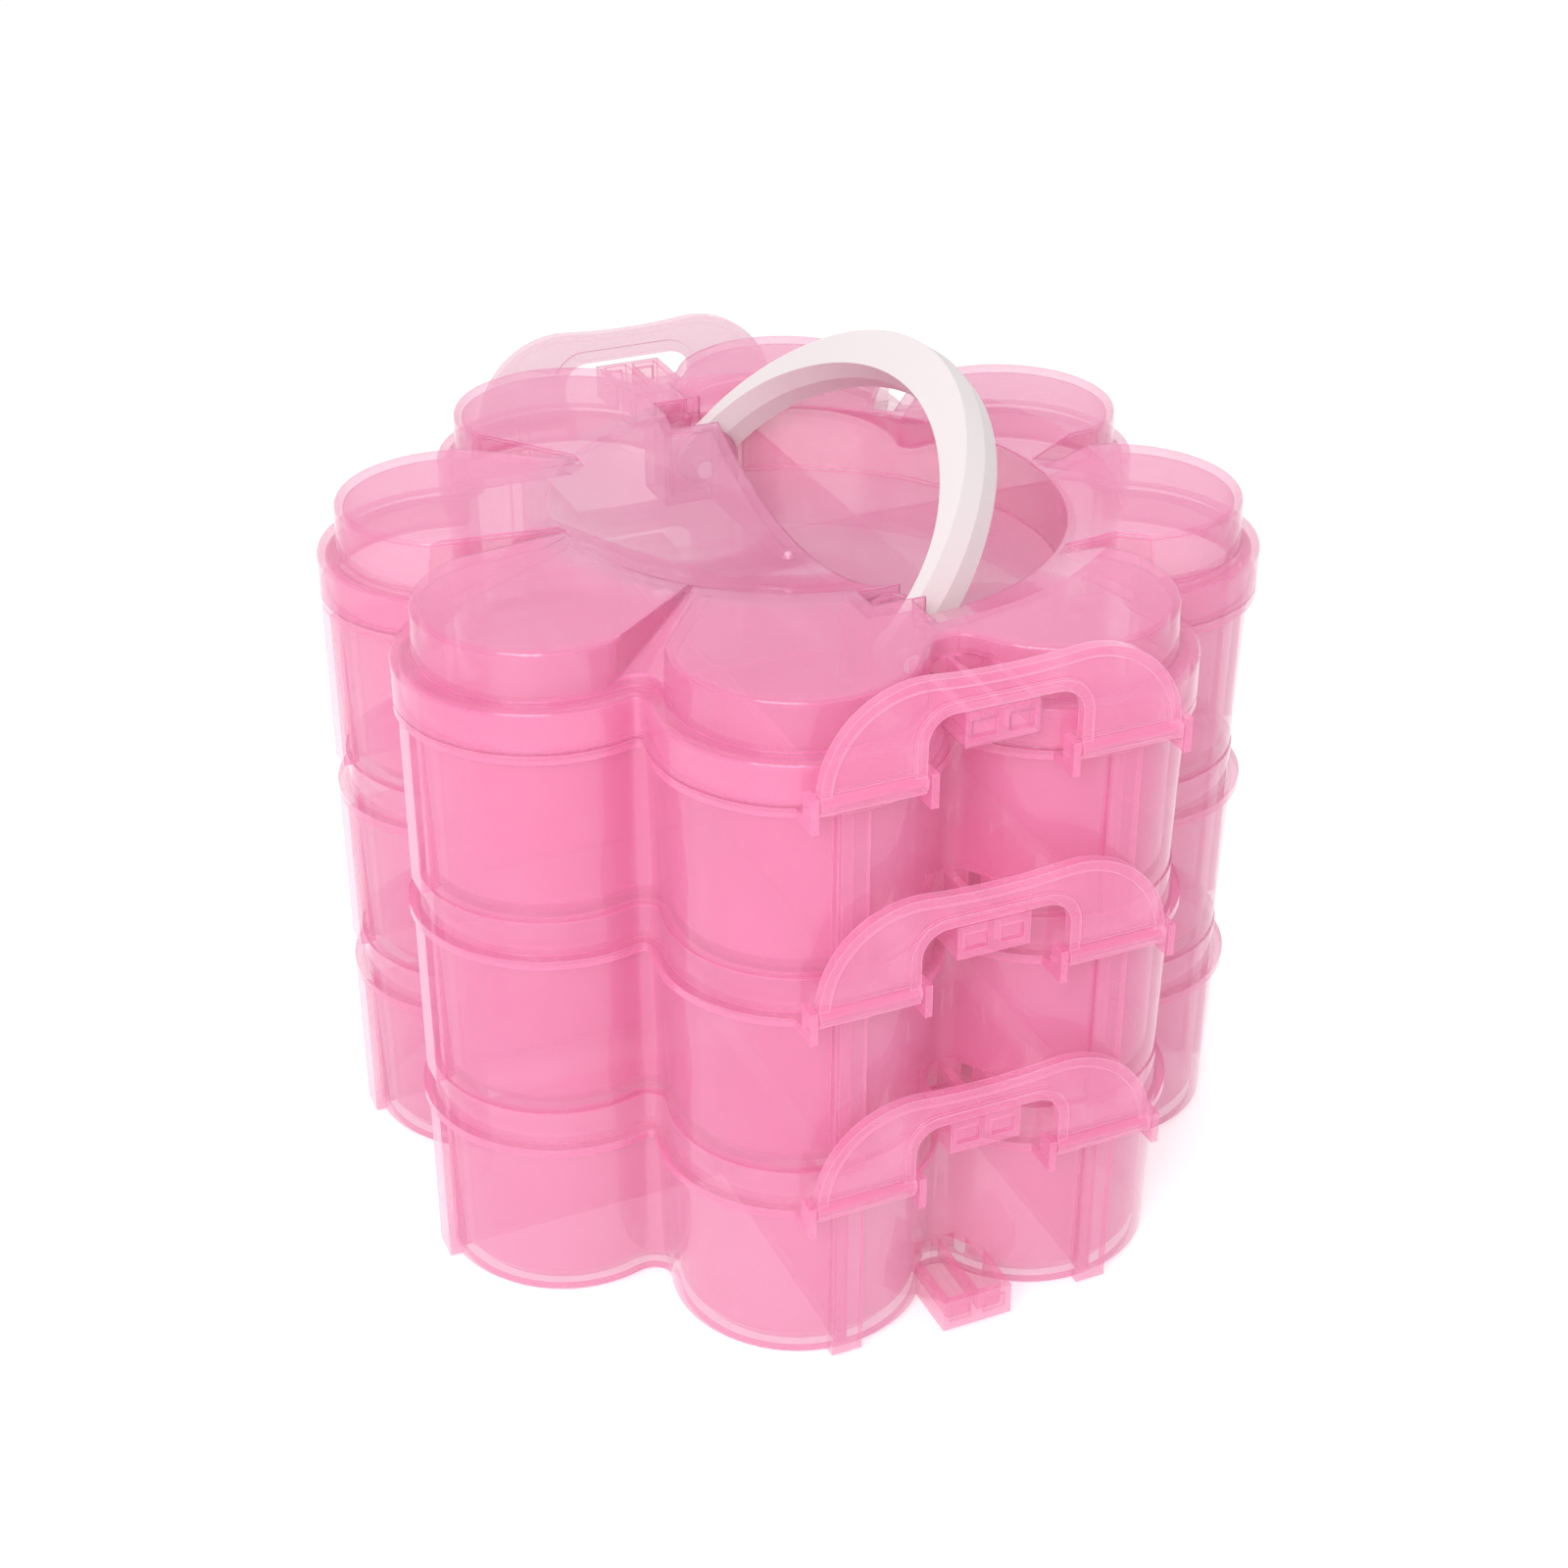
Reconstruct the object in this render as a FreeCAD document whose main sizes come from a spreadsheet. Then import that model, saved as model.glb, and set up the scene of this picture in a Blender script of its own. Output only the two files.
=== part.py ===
import FreeCAD, Part
import math
import os
import Sketcher

# Flower-shaped stacking caddy: three identical trays, a lid with a folding
# carry handle, six swing latches and loose divider plates in every tray.
# Millimetres, +Z up, origin under the middle of the stack. The latches face
# -Y (front) and +Y (rear); the handle swings about an axis along Y.

PETALS = 8
PETAL_STEP = 360.0 / PETALS
HALF_STEP = PETAL_STEP / 2.0
TRAY_NAMES = ("bottom", "middle", "top")

SIZES = (
    ("petal_ring", 56.6, "radius of the circle that carries the petal centres"),
    ("petal_radius", 20.2, "petal radius at the foot plug of a tray"),
    ("valley_radius", 4.6, "hollow radius between two petals at the foot plug"),
    ("tray_pitch", 37.0, "height that each tray adds to the stack"),
    ("plug_height", 1.5, "foot plug that drops into the rim below"),
    ("floor_thick", 1.5, "tray floor"),
    ("cove_height", 2.5, "bevel between floor and wall inside a tray"),
    ("cove_inset", 1.6, "inward run of that bevel"),
    ("wall_foot_grow", 1.5, "tray wall outside the foot plug, at its lower edge"),
    ("wall_top_grow", 2.3, "tray wall outside the foot plug, under the bead"),
    ("bead_grow", 3.6, "bead and lid skirt outside the foot plug"),
    ("bead_top", 32.4, "top of the bead above the tray's underside"),
    ("bead_height", 1.5, "height of the bead"),
    ("collar_grow", 1.8, "rim collar outside the foot plug"),
    ("nest_gap", 0.35, "gap between a foot plug and the rim around it"),
    ("rib_width", 5.4, "width of the outside rib behind each divider slot"),
    ("rib_grow", 3.2, "face of that rib outside the foot plug"),
    ("divider_offset", 23.0, "distance of each divider from the middle"),
    ("divider_thick", 1.5, "divider plate"),
    ("divider_top", 30.0, "top edge of a divider above the tray's underside"),
    ("slot_grow", 1.1, "bottom of a divider slot outside the foot plug"),
    ("slot_gap", 0.2, "play of a divider in its slots, each side"),
    ("hook_width", 12.6, "catch block on a tray or on the lid"),
    ("hook_foot", 1.8, "underside of the catch block above the tray's underside"),
    ("hook_height", 5.8, "height of the catch block"),
    ("hook_wall", 1.3, "walls of the open catch block"),
    ("hook_overlap", 0.7, "reach of the catch block under the latch bar"),
    ("dimple_width", 4.0, "shallow panel on the face of the catch block"),
    ("dimple_height", 2.8, "height of that panel"),
    ("dimple_depth", 0.5, "depth of that panel"),
    ("hinge_rise", 2.6, "latch hinge axis above the bead"),
    ("hinge_gap", 0.4, "gap between the bead line and a latch knuckle"),
    ("rod_radius", 0.9, "hinge rod on the tray"),
    ("rod_gap", 0.06, "running gap between rod and knuckle"),
    ("knuckle_radius", 1.6, "latch knuckle"),
    ("mouth_width", 1.5, "snap-in mouth of the knuckle"),
    ("bracket_thick", 1.2, "brackets at the ends of each hinge rod"),
    ("bracket_gap", 0.5, "play between a latch leg and its brackets"),
    ("latch_half", 30.0, "half width of a latch"),
    ("latch_height", 18.6, "height of a latch above its leg ends"),
    ("latch_shoulder", 16.5, "radius of the two latch shoulders"),
    ("latch_dip", 112.0, "radius of the dip between the shoulders"),
    ("latch_thick", 1.8, "latch plate with its raised border"),
    ("latch_border", 1.8, "width of the raised border"),
    ("latch_panel", 0.6, "depth of the latch face inside the border"),
    ("window_half", 12.9, "half width of the window between the latch legs"),
    ("window_corner", 4.5, "corner radius of that window"),
    ("latch_play", 1.1, "gap between the catch block and the latch bar"),
    ("lid_thick", 1.4, "lid plate and wall"),
    ("lid_rise", 9.8, "lid top above the rim it rests on"),
    ("lid_wall_grow", 0.4, "upper lid wall outside the foot plug, at the shoulder"),
    ("skirt_gap", 0.4, "gap between lid skirt and rim collar"),
    ("skirt_clear", 0.3, "gap between lid skirt and bead"),
    ("lid_round", 1.1, "rounded outer edges of the lid"),
    ("groove_tip", 38.0, "radius where the grooves between the lid petals run out"),
    ("groove_tip_half", 0.7, "half width of those grooves at their tip"),
    ("groove_tip_depth", 0.4, "depth of those grooves at their tip"),
    ("groove_half", 4.2, "half width of those grooves at the lid's edge"),
    ("groove_depth", 7.6, "depth of those grooves at the lid's edge"),
    ("recess_radius", 47.0, "round edge of the handle recess"),
    ("crease_offset", 2.5, "straight edge of the recess, right of the handle axis"),
    ("lip_drop", 3.4, "slanted lip around the handle recess"),
    ("lip_run", 9.0, "outward run of that lip"),
    ("bowl_radius", 41.0, "rim radius of the finger bowl"),
    ("bowl_depth", 11.4, "depth of the finger bowl"),
    ("ear_thick", 1.8, "inner bearing ear for the handle"),
    ("ear_gap", 1.6, "gap between ear and handle leg"),
    ("ear_half", 6.4, "half width of a bearing ear and radius of its top"),
    ("ear_rise", 1.6, "centre of the ear's round top above the handle axis"),
    ("leg_gap", 1.6, "gap between a handle leg and the outer bearing wall"),
    ("pin_radius", 1.6, "handle pin"),
    ("pin_gap", 0.08, "running gap between pin and bearing"),
    ("pivot_drop", 10.9, "handle axis below the lid top"),
    ("handle_reach", 45.0, "half length of the handle at its parting ridge"),
    ("handle_height", 41.8, "height of the handle above its axis"),
    ("handle_leg", 3.8, "thickness of the handle at its legs"),
    ("handle_crown", 8.6, "thickness of the handle at its crown"),
    ("handle_width", 7.8, "width of the handle"),
    ("handle_ridge", 0.6, "height of the parting ridge over the handle's flanks"),
    ("handle_side", 38.0, "side radius of the handle's outer arch"),
    ("handle_inner_side", 28.0, "side radius of the handle's inner arch"),
    ("handle_play", 0.4, "gap between the folded handle and the recess floor"),
    ("handle_lean", 43.0, "lean of the handle from upright, in degrees"),
)

doc = FreeCAD.newDocument("FlowerCaddy")
sheet = doc.addObject("Spreadsheet::Sheet", "Sizes")
for row, (alias, amount, meaning) in enumerate(SIZES, start=1):
    sheet.set("A%d" % row, meaning)
    sheet.set("B%d" % row, str(amount))
    sheet.setAlias("B%d" % row, alias)
doc.recompute()

# Derived dimensions, as expressions on the sheet.
PETAL_Y = "(Sizes.petal_ring * cos(%g deg))" % HALF_STEP
PETAL_X = "(Sizes.petal_ring * sin(%g deg))" % HALF_STEP
ARC_SUM = "(Sizes.petal_radius + Sizes.valley_radius)"
VALLEY_CENTRE = "(%s + sqrt(%s ^ 2 - %s ^ 2))" % (PETAL_Y, ARC_SUM, PETAL_X)
VALLEY_REACH = "(%s - Sizes.valley_radius)" % VALLEY_CENTRE
PETAL_REACH = "(%s + Sizes.petal_radius)" % PETAL_Y
COLLAR_TOP = "(Sizes.tray_pitch + Sizes.plug_height)"
BEAD_FOOT = "(Sizes.bead_top - Sizes.bead_height)"
COLLAR_INNER = "Sizes.nest_gap"
WALL_INNER = "0"
COVE_TOP = "(Sizes.floor_thick + Sizes.cove_height)"
SLOT_REACH = "(%s + Sizes.slot_grow)" % PETAL_REACH
RIB_REACH = "(%s + Sizes.rib_grow)" % PETAL_REACH
BEAD_REACH = "(%s + Sizes.bead_grow)" % PETAL_REACH
HINGE_REACH = "(%s + Sizes.hinge_gap + Sizes.knuckle_radius)" % BEAD_REACH
HINGE_HEIGHT = "(Sizes.bead_top + Sizes.hinge_rise)"
LATCH_BACK = "(%s - Sizes.latch_thick / 2 + Sizes.latch_panel / 4)" % HINGE_REACH
HOOK_FACE = "(%s + Sizes.hook_overlap)" % LATCH_BACK
HOOK_TOP = "(Sizes.hook_foot + Sizes.hook_height)"
LEG_FOOT = "(-Sizes.knuckle_radius)"
WINDOW_TOP = "(Sizes.tray_pitch + %s + Sizes.latch_play - %s)" % (HOOK_TOP, HINGE_HEIGHT)
SKIRT_FOOT = "(Sizes.bead_top + Sizes.skirt_clear - %s)" % COLLAR_TOP
SKIRT_INNER = "(Sizes.collar_grow + Sizes.skirt_gap)"
LID_PLATE_FOOT = "(Sizes.lid_rise - Sizes.lid_thick)"
PIVOT_HEIGHT = "(Sizes.lid_rise - Sizes.pivot_drop)"
RECESS_FLOOR = "(%s - Sizes.handle_width / 2 - Sizes.handle_play)" % PIVOT_HEIGHT
PAN_FOOT = "(%s - Sizes.lid_thick)" % RECESS_FLOOR
PAN_RADIUS = "(Sizes.recess_radius + Sizes.lid_thick)"
LEG_INNER = "(Sizes.handle_reach - Sizes.handle_leg)"
EAR_OUTER = "(%s - Sizes.ear_gap)" % LEG_INNER
EAR_INNER = "(%s - Sizes.ear_thick)" % EAR_OUTER
SLOT_END = "(Sizes.handle_reach + Sizes.leg_gap)"
PIN_END = "(%s + Sizes.lid_thick)" % SLOT_END
UPRIGHT = FreeCAD.Vector(0, 0, 1)


def number(expression):
    """Value of a sheet expression as a plain number."""
    result = sheet.evalExpression(str(expression))
    return float(getattr(result, "Value", result))


def origin_plane(body, role):
    """One of a body's own origin planes or axes."""
    return next(item for item in body.Origin.OriginFeatures if item.Role == role)


def new_body(label):
    """Empty body that becomes the sub-part of that name."""
    body = doc.addObject("PartDesign::Body", label)
    body.Label = label
    return body


def new_sketch(body, name, role, offset="0"):
    """Sketch on one of the body's planes, moved along the plane's normal."""
    sketch = body.newObject("Sketcher::SketchObject", name)
    sketch.AttachmentSupport = [(origin_plane(body, role), "")]
    sketch.MapMode = "FlatFace"
    sketch.setExpression("AttachmentOffset.Base.z", offset)
    return sketch


def bind(sketch, constraint, expression):
    """Add a dimension to a sketch and tie it to the sheet."""
    index = sketch.addConstraint(constraint)
    sketch.setExpression("Constraints[%d]" % index, expression)


def pin_point(sketch, geometry, position, across, along):
    """Fix a sketch point by two sheet expressions."""
    for kind, expression in (("DistanceX", across), ("DistanceY", along)):
        value = number(expression)
        bind(sketch, Sketcher.Constraint(kind, -1, 1, geometry, position, value), expression)


def add_polygon(sketch, corners):
    """Closed outline whose corners are pairs of sheet expressions."""
    places = [FreeCAD.Vector(number(x), number(y), 0) for x, y in corners]
    lines = []
    for index, place in enumerate(places):
        following = places[(index + 1) % len(places)]
        lines.append(sketch.addGeometry(Part.LineSegment(place, following), False))
    for index, line in enumerate(lines):
        following = lines[(index + 1) % len(lines)]
        sketch.addConstraint(Sketcher.Constraint("Coincident", line, 2, following, 1))
        pin_point(sketch, line, 1, *corners[index])


def add_box_outline(sketch, left, right, low, high):
    """Closed rectangle between four sheet expressions."""
    add_polygon(sketch, ((left, low), (right, low), (right, high), (left, high)))


def add_circle(sketch, across, along, radius):
    """Circle placed and sized by sheet expressions."""
    centre = FreeCAD.Vector(number(across), number(along), 0)
    circle = sketch.addGeometry(Part.Circle(centre, UPRIGHT, number(radius)), False)
    pin_point(sketch, circle, 3, across, along)
    bind(sketch, Sketcher.Constraint("Radius", circle, number(radius)), radius)


def polar(radius, degrees):
    """Point in the sketch plane from radius and angle."""
    angle = math.radians(degrees)
    return FreeCAD.Vector(radius * math.cos(angle), radius * math.sin(angle), 0)


def arc_between(centre, radius, start, end):
    """Counter-clockwise arc from the direction of one point to that of another."""
    first = math.atan2(start.y - centre.y, start.x - centre.x)
    last = math.atan2(end.y - centre.y, end.x - centre.x)
    if last < first:
        last += 2.0 * math.pi
    return Part.ArcOfCircle(Part.Circle(centre, UPRIGHT, radius), first, last)


def flower_sketch(body, name, grow, height):
    """Petal outline of the caddy, a set distance outside the foot plug."""
    sketch = new_sketch(body, name, "XY_Plane", height)
    petal_size = "Sizes.petal_radius + (%s)" % grow
    valley_size = "Sizes.valley_radius - (%s)" % grow
    ring = number("Sizes.petal_ring")
    valley_ring = number(VALLEY_CENTRE)
    centres = [polar(ring, HALF_STEP + PETAL_STEP * k) for k in range(PETALS)]
    hollows = [polar(valley_ring, PETAL_STEP * k) for k in range(PETALS)]
    petals = []
    valleys = []
    for k in range(PETALS):
        after = (k + 1) % PETALS
        petal = arc_between(centres[k], number(petal_size), hollows[k], hollows[after])
        petals.append(sketch.addGeometry(petal, False))
        valley = arc_between(hollows[k], number(valley_size), centres[k], centres[k - 1])
        valleys.append(sketch.addGeometry(valley, False))
    for k in range(PETALS):
        angle = HALF_STEP + PETAL_STEP * k
        across = "Sizes.petal_ring * cos(%g deg)" % angle
        along = "Sizes.petal_ring * sin(%g deg)" % angle
        pin_point(sketch, petals[k], 3, across, along)
    bind(sketch, Sketcher.Constraint("Radius", petals[0], number(petal_size)), petal_size)
    bind(sketch, Sketcher.Constraint("Radius", valleys[0], number(valley_size)), valley_size)
    for k in range(1, PETALS):
        sketch.addConstraint(Sketcher.Constraint("Equal", petals[0], petals[k]))
        sketch.addConstraint(Sketcher.Constraint("Equal", valleys[0], valleys[k]))
    for k in range(PETALS):
        sketch.addConstraint(Sketcher.Constraint("Tangent", petals[k], 1, valleys[k], 1))
        sketch.addConstraint(Sketcher.Constraint("Tangent", petals[k - 1], 2, valleys[k], 2))
    return sketch


def pad(body, name, sketch, length, back=False, both=False):
    """Extrude a sketch; a sheet expression gives the length."""
    feature = body.newObject("PartDesign::Pad", name)
    feature.Profile = sketch
    feature.setExpression("Length", length)
    feature.Reversed = back
    feature.Midplane = both
    return feature


def pocket(body, name, sketch, length, back=False, both=False):
    """Cut a sketch away; a sheet expression gives the depth."""
    feature = body.newObject("PartDesign::Pocket", name)
    feature.Profile = sketch
    feature.setExpression("Length", length)
    feature.Reversed = back
    feature.Midplane = both
    return feature


def loft(body, kind, name, sections):
    """Straight-sided loft through sketches, added or cut away."""
    feature = body.newObject("PartDesign::%sLoft" % kind, name)
    feature.Profile = sections[0]
    feature.Sections = sections[1:]
    feature.Ruled = True
    return feature


def repeat_about_middle(body, name, originals, count):
    """Copy features evenly around the vertical axis."""
    doc.recompute()
    feature = body.newObject("PartDesign::PolarPattern", name)
    feature.Originals = originals
    feature.Axis = (origin_plane(body, "Z_Axis"), [""])
    feature.Angle = 360.0
    feature.Occurrences = count
    body.Tip = feature


def mirrored(limits):
    """Both signs of a pair of limits, for features left and right of the middle."""
    near, far = limits
    return ((near, far), ("-(%s)" % far, "-(%s)" % near))


def add_hooks(body, foot, root):
    """Open catch blocks on the front and rear valleys, with panelled faces."""
    half = "Sizes.hook_width / 2"
    wall = "Sizes.hook_wall"
    top = "(%s + Sizes.hook_height)" % foot
    blocks = new_sketch(body, "hook_outline", "XY_Plane", foot)
    wells = new_sketch(body, "hook_well_outline", "XY_Plane", top)
    for near, far in mirrored((root, HOOK_FACE)):
        add_box_outline(blocks, "-" + half, half, near, far)
    for near, far in mirrored(("(%s + %s)" % (root, wall), "(%s - %s)" % (HOOK_FACE, wall))):
        for left, right in mirrored((wall + " / 2", half + " - " + wall)):
            add_box_outline(wells, left, right, near, far)
    pad(body, "hook_blocks", blocks, "Sizes.hook_height")
    pocket(body, "hook_wells", wells, "Sizes.hook_height - " + wall)
    middle = "(%s + Sizes.hook_height / 2)" % foot
    low = middle + " - Sizes.dimple_height / 2"
    high = middle + " + Sizes.dimple_height / 2"
    spread = "Sizes.hook_width / 4"
    dimple = (spread + " - Sizes.dimple_width / 2", spread + " + Sizes.dimple_width / 2")
    for side, sign in (("front", ""), ("rear", "-")):
        panels = new_sketch(body, "hook_panel_outline_" + side, "XZ_Plane", sign + HOOK_FACE)
        for left, right in mirrored(dimple):
            add_box_outline(panels, left, right, low, high)
        pocket(body, "hook_panels_" + side, panels, "Sizes.dimple_depth", back=sign == "-")


def add_latch_hinges(body):
    """Hinge rods and their end brackets on the front and rear bead."""
    thick = "Sizes.bracket_thick"
    inner_start = "(Sizes.window_half - Sizes.bracket_gap - %s)" % thick
    outer_start = "(Sizes.latch_half + Sizes.bracket_gap)"
    root = "(%s - Sizes.bead_grow)" % BEAD_REACH
    behind = "(%s - Sizes.knuckle_radius)" % HINGE_REACH
    tip = "(%s + Sizes.knuckle_radius)" % HINGE_REACH
    feet = new_sketch(body, "bracket_foot_outline", "XY_Plane", BEAD_FOOT)
    heads = new_sketch(body, "bracket_head_outline", "XY_Plane", "Sizes.bead_top")
    for start in (inner_start, outer_start):
        for left, right in mirrored((start, "(%s + %s)" % (start, thick))):
            for near, far in mirrored((root, tip)):
                add_box_outline(feet, left, right, near, far)
            for near, far in mirrored((behind, tip)):
                add_box_outline(heads, left, right, near, far)
    pad(body, "bracket_feet", feet, "Sizes.bead_height")
    pad(body, "bracket_heads", heads, "Sizes.hinge_rise + Sizes.knuckle_radius")
    length = "(%s - %s)" % (outer_start, inner_start)
    for side, offset in (("right", inner_start), ("left", "-(%s + %s)" % (inner_start, length))):
        rods = new_sketch(body, "rod_outline_" + side, "YZ_Plane", offset)
        add_circle(rods, HINGE_REACH, HINGE_HEIGHT, "Sizes.rod_radius")
        add_circle(rods, "-" + HINGE_REACH, HINGE_HEIGHT, "Sizes.rod_radius")
        pad(body, "hinge_rods_" + side, rods, length)


def add_bars(body, name, reach, half_width, foot):
    """Sketches of two bars along Y and two along X, through the divider lines."""
    low = "Sizes.divider_offset - " + half_width
    high = "Sizes.divider_offset + " + half_width
    along_y = new_sketch(body, name + "_along_y", "XY_Plane", foot)
    along_x = new_sketch(body, name + "_along_x", "XY_Plane", foot)
    for near, far in mirrored((low, high)):
        add_box_outline(along_y, near, far, "-" + reach, reach)
        add_box_outline(along_x, "-" + reach, reach, near, far)
    return along_y, along_x


def build_tray():
    """One tray: plugged foot, drafted petal wall, bead, rim collar and fittings."""
    body = new_body("tray_master")
    pad(body, "foot_plug", flower_sketch(body, "plug_outline", "0", "0"), "Sizes.plug_height")
    loft(body, "Additive", "wall", [
        flower_sketch(body, "wall_foot", "Sizes.wall_foot_grow", "Sizes.plug_height"),
        flower_sketch(body, "wall_head", "Sizes.wall_top_grow", BEAD_FOOT),
    ])
    rib_height = "(%s - Sizes.plug_height)" % BEAD_FOOT
    ribs = add_bars(body, "ribs", RIB_REACH, "Sizes.rib_width / 2", "Sizes.plug_height")
    for index, sketch in enumerate(ribs):
        pad(body, "slot_ribs_%d" % index, sketch, rib_height)
    bead = flower_sketch(body, "bead_outline", "Sizes.bead_grow", BEAD_FOOT)
    pad(body, "bead", bead, "Sizes.bead_height")
    collar = flower_sketch(body, "collar_outline", "Sizes.collar_grow", "Sizes.bead_top")
    pad(body, "collar", collar, COLLAR_TOP + " - Sizes.bead_top")
    add_hooks(body, "Sizes.hook_foot", "(%s + Sizes.wall_foot_grow / 2)" % VALLEY_REACH)
    add_latch_hinges(body)
    loft(body, "Subtractive", "inside", [
        flower_sketch(body, "inside_floor", "-Sizes.cove_inset", "Sizes.floor_thick"),
        flower_sketch(body, "inside_wall", WALL_INNER, COVE_TOP),
        flower_sketch(body, "inside_rim", COLLAR_INNER, COLLAR_TOP),
    ])
    half_slot = "(Sizes.divider_thick / 2 + Sizes.slot_gap)"
    slots = add_bars(body, "slots", SLOT_REACH, half_slot, "Sizes.floor_thick")
    for index, sketch in enumerate(slots):
        pocket(body, "divider_slots_%d" % index, sketch, COLLAR_TOP, back=True)
    return body


def build_divider(label, role, cut_from_top):
    """Divider plate with two half-lap notches where it crosses its neighbours."""
    body = new_body(label)
    sketch = new_sketch(body, "outline", role)
    end = "(%s - Sizes.slot_gap)" % SLOT_REACH
    foot = "Sizes.floor_thick"
    head = "Sizes.divider_top"
    middle = "((%s + %s) / 2)" % (foot, head)
    notch = "(Sizes.divider_thick / 2 + Sizes.slot_gap)"
    near = "(Sizes.divider_offset - %s)" % notch
    far = "(Sizes.divider_offset + %s)" % notch
    steps = ("-" + far, "-" + near, near, far)
    edge, other = (head, foot) if cut_from_top else (foot, head)
    inset = "Sizes.slot_gap" if cut_from_top else "-Sizes.slot_gap"
    bottom_of_notch = "(%s - %s)" % (middle, inset)
    corners = [("-" + end, other), ("-" + end, edge)]
    for index, step in enumerate(steps):
        inward = index % 2 == 0
        first, second = (edge, bottom_of_notch) if inward else (bottom_of_notch, edge)
        corners += [(step, first), (step, second)]
    corners += [(end, edge), (end, other)]
    add_polygon(sketch, corners)
    pad(body, "plate", sketch, "Sizes.divider_thick", both=True)
    return body


def spot(across, along):
    """Sketch point at two sheet expressions."""
    return FreeCAD.Vector(number(across), number(along), 0)


def add_arch(sketch, pivot, side, join, hollow):
    """Two side arcs about mirrored pivots, joined by one tangent arc.

    The pivot is a pair of expressions, right of the middle. The side arcs start
    level with it; the joining arc bends the same way, or back when hollow.
    Returns the right and the left side arc.
    """
    pivot_x, pivot_y = pivot
    reach = number(side) + number(join) if hollow else number(join) - number(side)
    drop = math.sqrt(reach ** 2 - number(pivot_x) ** 2)
    middle = FreeCAD.Vector(0, number(pivot_y) + (drop if hollow else -drop), 0)
    pivots = [spot(pivot_x, pivot_y), spot("-" + pivot_x, pivot_y)]
    toward = [middle - point if hollow else point - middle for point in pivots]
    meets = [point + way for point, way in zip(pivots, toward)]
    right_end = spot("%s + %s" % (pivot_x, side), pivot_y)
    left_end = spot("-%s - %s" % (pivot_x, side), pivot_y)
    right = sketch.addGeometry(arc_between(pivots[0], number(side), right_end, meets[0]), False)
    left = sketch.addGeometry(arc_between(pivots[1], number(side), meets[1], left_end), False)
    ends = (pivots[1], pivots[0]) if hollow else (meets[0], meets[1])
    crown = sketch.addGeometry(arc_between(middle, number(join), *ends), False)
    pin_point(sketch, right, 3, pivot_x, pivot_y)
    pin_point(sketch, left, 3, "-" + pivot_x, pivot_y)
    pin_point(sketch, right, 1, "%s + %s" % (pivot_x, side), pivot_y)
    pin_point(sketch, left, 2, "-%s - %s" % (pivot_x, side), pivot_y)
    bind(sketch, Sketcher.Constraint("Radius", crown, number(join)), join)
    right_meet, left_meet = (2, 1) if hollow else (1, 2)
    sketch.addConstraint(Sketcher.Constraint("Tangent", right, 2, crown, right_meet))
    sketch.addConstraint(Sketcher.Constraint("Tangent", left, 1, crown, left_meet))
    return right, left


def add_run(sketch, first, last, corners, bends):
    """Lines through pinned corners between two arc ends; a bend rounds its step.

    First and last are (geometry, point) pairs already placed in the sketch.
    Bends maps the number of a step to the radius of the arc that replaces it.
    """
    previous, previous_end = first
    for step in range(len(corners) - 1):
        start, end = spot(*corners[step]), spot(*corners[step + 1])
        if step in bends:
            radius = bends[step]
            low, high = (start, end) if start.y < end.y else (end, start)
            centre = FreeCAD.Vector(high.x, low.y, 0)
            item = sketch.addGeometry(arc_between(centre, number(radius), end, start), False)
            bind(sketch, Sketcher.Constraint("Radius", item, number(radius)), radius)
            near, far = 2, 1
        else:
            item = sketch.addGeometry(Part.LineSegment(start, end), False)
            near, far = 1, 2
        sketch.addConstraint(Sketcher.Constraint("Coincident", previous, previous_end, item, near))
        if step < len(corners) - 2:
            pin_point(sketch, item, far, *corners[step + 1])
        else:
            sketch.addConstraint(Sketcher.Constraint("Coincident", item, far, *last))
        previous, previous_end = item, far


def latch_outline(sketch, inset):
    """Two-shouldered latch outline with its window, drawn in by a set inset."""
    half = "(Sizes.latch_half - %s)" % inset
    foot = "(%s + %s)" % (LEG_FOOT, inset)
    shoulder = "(Sizes.latch_shoulder - %s)" % inset
    dip = "(Sizes.latch_dip + %s)" % inset
    pivot_x = "(Sizes.latch_half - Sizes.latch_shoulder)"
    pivot_y = "(%s + Sizes.latch_height - Sizes.latch_shoulder)" % LEG_FOOT
    window = "(Sizes.window_half + %s)" % inset
    corner = "(Sizes.window_corner + %s)" % inset
    top = "(%s + %s)" % (WINDOW_TOP, inset)
    corner_x = "(%s - %s)" % (window, corner)
    corner_y = "(%s - %s)" % (top, corner)
    right, left = add_arch(sketch, (pivot_x, pivot_y), shoulder, dip, True)
    corners = (
        ("-" + half, pivot_y), ("-" + half, foot), ("-" + window, foot), ("-" + window, corner_y),
        ("-" + corner_x, top), (corner_x, top),
        (window, corner_y), (window, foot), (half, foot), (half, pivot_y),
    )
    add_run(sketch, (left, 2), (right, 1), corners, {3: corner, 5: corner})


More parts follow.
